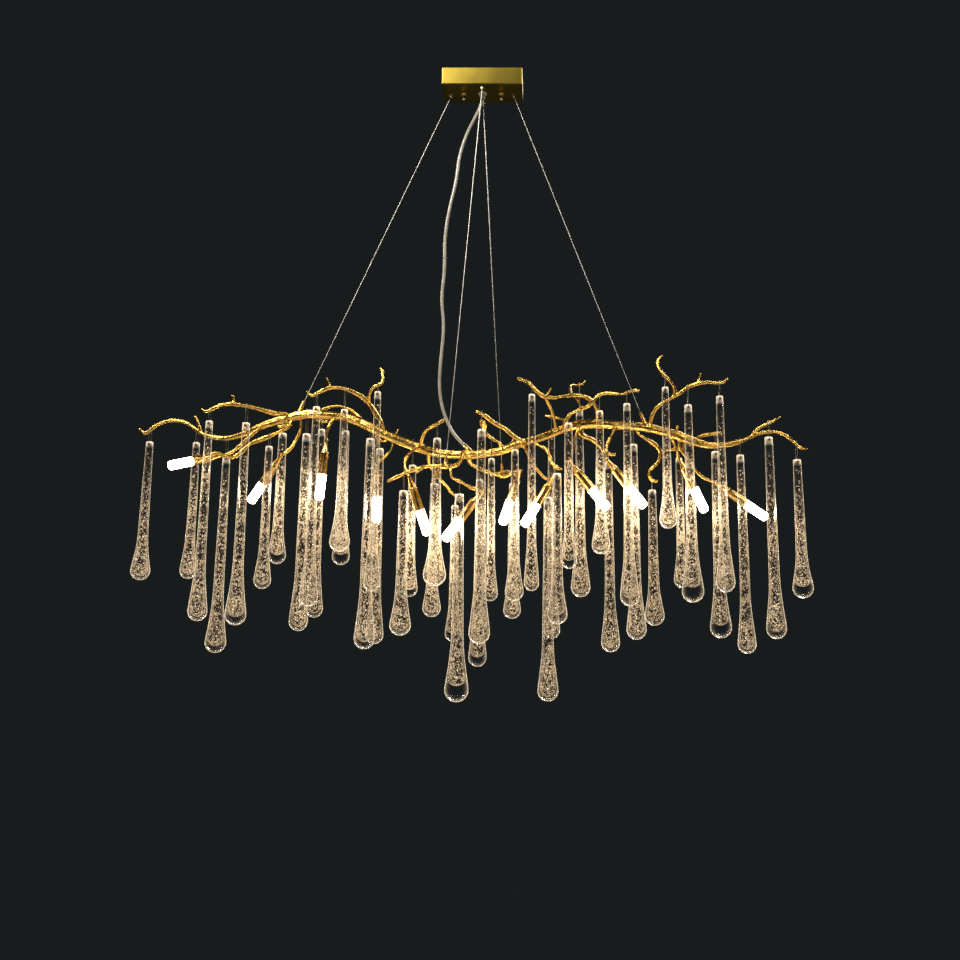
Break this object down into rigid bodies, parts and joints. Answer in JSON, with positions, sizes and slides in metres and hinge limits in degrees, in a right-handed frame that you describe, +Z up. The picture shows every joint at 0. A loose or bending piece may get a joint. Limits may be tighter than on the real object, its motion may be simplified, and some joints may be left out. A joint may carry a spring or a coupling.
{
  "type": "crystal chandelier",
  "caption": "Gilded branch hung on steel cables from a ceiling canopy, with twigs, small capsule lamps and long seeded glass drops on wire bails.",
  "frame": {"origin": "centre of the two ceiling screws, on the ceiling plane", "axes": "+Z up, +X along the branch towards its thin right end, -Y towards the viewer"},
  "size_m": [1.2179, 0.1997, 1.2],
  "materials": {
    "gilt": "polished gilding over a cast, grained branch",
    "canopy_gold": "satin gold lacquer on pressed metal",
    "drop_glass": "clear solid glass seeded with fine bubbles",
    "bulb_glass": "frosted, lit warm white",
    "bail_wire": "drawn wire",
    "cable_steel": "stranded steel cable",
    "grip_steel": "turned and nickelled",
    "bracket_steel": "zinc plated",
    "block_plastic": "moulded, off-white",
    "cord_plastic": "smoky see-through sheath"
  },
  "bodies": {
    "chandelier": {"canopy": "canopy_gold", "ceiling_bracket": "bracket_steel", "cap_nuts": "gilt", "terminal_block": "block_plastic", "cord_gland": "block_plastic", "power_cord": "cord_plastic", "cable_grips": "grip_steel", "suspension_cables": "cable_steel", "branch_anchors": "gilt", "main_branch": "gilt", "twigs": "gilt", "lamp_arms": "gilt", "lamp_holders": "gilt", "bulbs": "bulb_glass", "drop_bails": "bail_wire"},
    "drop_01": {"glass_drop_01": "drop_glass"},
    "drop_02": {"glass_drop_02": "drop_glass"},
    "drop_03": {"glass_drop_03": "drop_glass"},
    "drop_04": {"glass_drop_04": "drop_glass"},
    "drop_05": {"glass_drop_05": "drop_glass"},
    "drop_06": {"glass_drop_06": "drop_glass"},
    "drop_07": {"glass_drop_07": "drop_glass"},
    "drop_08": {"glass_drop_08": "drop_glass"},
    "drop_09": {"glass_drop_09": "drop_glass"},
    "drop_10": {"glass_drop_10": "drop_glass"},
    "drop_11": {"glass_drop_11": "drop_glass"},
    "drop_12": {"glass_drop_12": "drop_glass"},
    "drop_13": {"glass_drop_13": "drop_glass"},
    "drop_14": {"glass_drop_14": "drop_glass"},
    "drop_15": {"glass_drop_15": "drop_glass"},
    "drop_16": {"glass_drop_16": "drop_glass"},
    "drop_17": {"glass_drop_17": "drop_glass"},
    "drop_18": {"glass_drop_18": "drop_glass"},
    "drop_19": {"glass_drop_19": "drop_glass"},
    "drop_20": {"glass_drop_20": "drop_glass"},
    "drop_21": {"glass_drop_21": "drop_glass"},
    "drop_22": {"glass_drop_22": "drop_glass"},
    "drop_23": {"glass_drop_23": "drop_glass"},
    "drop_24": {"glass_drop_24": "drop_glass"},
    "drop_25": {"glass_drop_25": "drop_glass"},
    "drop_26": {"glass_drop_26": "drop_glass"},
    "drop_27": {"glass_drop_27": "drop_glass"},
    "drop_28": {"glass_drop_28": "drop_glass"},
    "drop_29": {"glass_drop_29": "drop_glass"},
    "drop_30": {"glass_drop_30": "drop_glass"},
    "drop_31": {"glass_drop_31": "drop_glass"},
    "drop_32": {"glass_drop_32": "drop_glass"},
    "drop_33": {"glass_drop_33": "drop_glass"},
    "drop_34": {"glass_drop_34": "drop_glass"},
    "drop_35": {"glass_drop_35": "drop_glass"},
    "drop_36": {"glass_drop_36": "drop_glass"},
    "drop_37": {"glass_drop_37": "drop_glass"},
    "drop_38": {"glass_drop_38": "drop_glass"},
    "drop_39": {"glass_drop_39": "drop_glass"},
    "drop_40": {"glass_drop_40": "drop_glass"},
    "drop_41": {"glass_drop_41": "drop_glass"},
    "drop_42": {"glass_drop_42": "drop_glass"},
    "drop_43": {"glass_drop_43": "drop_glass"},
    "drop_44": {"glass_drop_44": "drop_glass"},
    "drop_45": {"glass_drop_45": "drop_glass"}
  },
  "joints": [
    {"name": "drop_01_swing", "type": "hinge", "parent": "chandelier", "child": "drop_01", "pos_m": [-0.602, 0.04, -0.72375], "axis": [0, 1, 0], "range_deg": [-13, 15]},
    {"name": "drop_02_swing", "type": "hinge", "parent": "chandelier", "child": "drop_02", "pos_m": [-0.516, 0.038, -0.72575], "axis": [0, 1, 0], "range_deg": [-8, 13]},
    {"name": "drop_03_swing", "type": "hinge", "parent": "chandelier", "child": "drop_03", "pos_m": [-0.472, -0.05, -0.71075], "axis": [0, 1, 0], "range_deg": [-4.5, 14]},
    {"name": "drop_04_swing", "type": "hinge", "parent": "chandelier", "child": "drop_04", "pos_m": [-0.457, 0.027, -0.75475], "axis": [0, 1, 0], "range_deg": [-15, 8.5]},
    {"name": "drop_05_swing", "type": "hinge", "parent": "chandelier", "child": "drop_05", "pos_m": [-0.409, -0.041, -0.71175], "axis": [0, 1, 0], "range_deg": [-6, 4.5]},
    {"name": "drop_06_swing", "type": "hinge", "parent": "chandelier", "child": "drop_06", "pos_m": [-0.373, -0.009, -0.74575], "axis": [0, 1, 0], "range_deg": [-8, 7]},
    {"name": "drop_07_swing", "type": "hinge", "parent": "chandelier", "child": "drop_07", "pos_m": [-0.364, 0.06, -0.70175], "axis": [0, 1, 0], "range_deg": [-15, 12]},
    {"name": "drop_08_swing", "type": "hinge", "parent": "chandelier", "child": "drop_08", "pos_m": [-0.309, 0.002, -0.71975], "axis": [0, 1, 0], "range_deg": [-2.5, 7]},
    {"name": "drop_09_swing", "type": "hinge", "parent": "chandelier", "child": "drop_09", "pos_m": [-0.288, 0.034, -0.70175], "axis": [0, 1, 0], "range_deg": [-13, 2.5]},
    {"name": "drop_10_swing", "type": "hinge", "parent": "chandelier", "child": "drop_10", "pos_m": [-0.284, -0.05, -0.68475], "axis": [0, 1, 0], "range_deg": [-4, 15]},
    {"name": "drop_11_swing", "type": "hinge", "parent": "chandelier", "child": "drop_11", "pos_m": [-0.239, 0, -0.71475], "axis": [0, 1, 0], "range_deg": [-4, 10]},
    {"name": "drop_12_swing", "type": "hinge", "parent": "chandelier", "child": "drop_12", "pos_m": [-0.236, -0.04, -0.68675], "axis": [0, 1, 0], "range_deg": [-7, 4]},
    {"name": "drop_13_swing", "type": "hinge", "parent": "chandelier", "child": "drop_13", "pos_m": [-0.193, -0.002, -0.72975], "axis": [0, 1, 0], "range_deg": [-9.5, 4]},
    {"name": "drop_14_swing", "type": "hinge", "parent": "chandelier", "child": "drop_14", "pos_m": [-0.181, 0.039, -0.73675], "axis": [0, 1, 0], "range_deg": [-13, 14]},
    {"name": "drop_15_swing", "type": "hinge", "parent": "chandelier", "child": "drop_15", "pos_m": [-0.177, -0.047, -0.65575], "axis": [0, 1, 0], "range_deg": [-4, 6]},
    {"name": "drop_16_swing", "type": "hinge", "parent": "chandelier", "child": "drop_16", "pos_m": [-0.125, -0.059, -0.83975], "axis": [0, 1, 0], "range_deg": [-9, 8.5]},
    {"name": "drop_17_swing", "type": "hinge", "parent": "chandelier", "child": "drop_17", "pos_m": [-0.117, 0.002, -0.77775], "axis": [0, 1, 0], "range_deg": [-5, 12]},
    {"name": "drop_18_swing", "type": "hinge", "parent": "chandelier", "child": "drop_18", "pos_m": [-0.08, 0.027, -0.80475], "axis": [0, 1, 0], "range_deg": [-13.5, 5.5]},
    {"name": "drop_19_swing", "type": "hinge", "parent": "chandelier", "child": "drop_19", "pos_m": [-0.068, -0.068, -0.74775], "axis": [0, 1, 0], "range_deg": [-5.5, 5.5]},
    {"name": "drop_20_swing", "type": "hinge", "parent": "chandelier", "child": "drop_20", "pos_m": [-0.039, -0.008, -0.85375], "axis": [0, 1, 0], "range_deg": [-14, 15]},
    {"name": "drop_21_swing", "type": "hinge", "parent": "chandelier", "child": "drop_21", "pos_m": [-0.026, -0.092, -0.85375], "axis": [0, 1, 0], "range_deg": [-3, 10]},
    {"name": "drop_22_swing", "type": "hinge", "parent": "chandelier", "child": "drop_22", "pos_m": [0.002, 0.027, -0.79775], "axis": [0, 1, 0], "range_deg": [-15, 12]},
    {"name": "drop_23_swing", "type": "hinge", "parent": "chandelier", "child": "drop_23", "pos_m": [0.009, -0.064, -0.73075], "axis": [0, 1, 0], "range_deg": [-9, 2]},
    {"name": "drop_24_swing", "type": "hinge", "parent": "chandelier", "child": "drop_24", "pos_m": [0.025, -0.018, -0.77075], "axis": [0, 1, 0], "range_deg": [-3.5, 9.5]},
    {"name": "drop_25_swing", "type": "hinge", "parent": "chandelier", "child": "drop_25", "pos_m": [0.061, 0.062, -0.79675], "axis": [0, 1, 0], "range_deg": [-10.5, 15]},
    {"name": "drop_26_swing", "type": "hinge", "parent": "chandelier", "child": "drop_26", "pos_m": [0.067, -0.033, -0.75875], "axis": [0, 1, 0], "range_deg": [-10, 3.5]},
    {"name": "drop_27_swing", "type": "hinge", "parent": "chandelier", "child": "drop_27", "pos_m": [0.097, -0.066, -0.66675], "axis": [0, 1, 0], "range_deg": [-3.5, 10]},
    {"name": "drop_28_swing", "type": "hinge", "parent": "chandelier", "child": "drop_28", "pos_m": [0.125, 0.014, -0.83375], "axis": [0, 1, 0], "range_deg": [-11, 15]},
    {"name": "drop_29_swing", "type": "hinge", "parent": "chandelier", "child": "drop_29", "pos_m": [0.132, 0.05, -0.69875], "axis": [0, 1, 0], "range_deg": [-6, 7]},
    {"name": "drop_30_swing", "type": "hinge", "parent": "chandelier", "child": "drop_30", "pos_m": [0.141, -0.046, -0.80575], "axis": [0, 1, 0], "range_deg": [-15, 6.5]},
    {"name": "drop_31_swing", "type": "hinge", "parent": "chandelier", "child": "drop_31", "pos_m": [0.162, -0.018, -0.70575], "axis": [0, 1, 0], "range_deg": [-8, 13]},
    {"name": "drop_32_swing", "type": "hinge", "parent": "chandelier", "child": "drop_32", "pos_m": [0.183, 0.025, -0.66575], "axis": [0, 1, 0], "range_deg": [-3.5, 5.5]},
    {"name": "drop_33_swing", "type": "hinge", "parent": "chandelier", "child": "drop_33", "pos_m": [0.217, -0.038, -0.68875], "axis": [0, 1, 0], "range_deg": [-4, 7.5]},
    {"name": "drop_34_swing", "type": "hinge", "parent": "chandelier", "child": "drop_34", "pos_m": [0.235, 0.034, -0.76375], "axis": [0, 1, 0], "range_deg": [-5, 5]},
    {"name": "drop_35_swing", "type": "hinge", "parent": "chandelier", "child": "drop_35", "pos_m": [0.265, -0.046, -0.67775], "axis": [0, 1, 0], "range_deg": [-11, 4]},
    {"name": "drop_36_swing", "type": "hinge", "parent": "chandelier", "child": "drop_36", "pos_m": [0.279, 0.003, -0.73875], "axis": [0, 1, 0], "range_deg": [-15, 4.5]},
    {"name": "drop_37_swing", "type": "hinge", "parent": "chandelier", "child": "drop_37", "pos_m": [0.314, 0.042, -0.81375], "axis": [0, 1, 0], "range_deg": [-7, 11.5]},
    {"name": "drop_38_swing", "type": "hinge", "parent": "chandelier", "child": "drop_38", "pos_m": [0.333, -0.054, -0.64975], "axis": [0, 1, 0], "range_deg": [-3, 10]},
    {"name": "drop_39_swing", "type": "hinge", "parent": "chandelier", "child": "drop_39", "pos_m": [0.363, 0.032, -0.75675], "axis": [0, 1, 0], "range_deg": [-10.5, 5.5]},
    {"name": "drop_40_swing", "type": "hinge", "parent": "chandelier", "child": "drop_40", "pos_m": [0.374, -0.042, -0.67875], "axis": [0, 1, 0], "range_deg": [-3.5, 3.5]},
    {"name": "drop_41_swing", "type": "hinge", "parent": "chandelier", "child": "drop_41", "pos_m": [0.427, 0.013, -0.74975], "axis": [0, 1, 0], "range_deg": [-1.5, 9.5]},
    {"name": "drop_42_swing", "type": "hinge", "parent": "chandelier", "child": "drop_42", "pos_m": [0.43, -0.046, -0.66375], "axis": [0, 1, 0], "range_deg": [-11, 3]},
    {"name": "drop_43_swing", "type": "hinge", "parent": "chandelier", "child": "drop_43", "pos_m": [0.469, -0.004, -0.76075], "axis": [0, 1, 0], "range_deg": [-3.5, 1.5]},
    {"name": "drop_44_swing", "type": "hinge", "parent": "chandelier", "child": "drop_44", "pos_m": [0.518, -0.022, -0.73275], "axis": [0, 1, 0], "range_deg": [-6.5, 3]},
    {"name": "drop_45_swing", "type": "hinge", "parent": "chandelier", "child": "drop_45", "pos_m": [0.572, 0.005, -0.76675], "axis": [0, 1, 0], "range_deg": [-15, 8]}
  ]
}
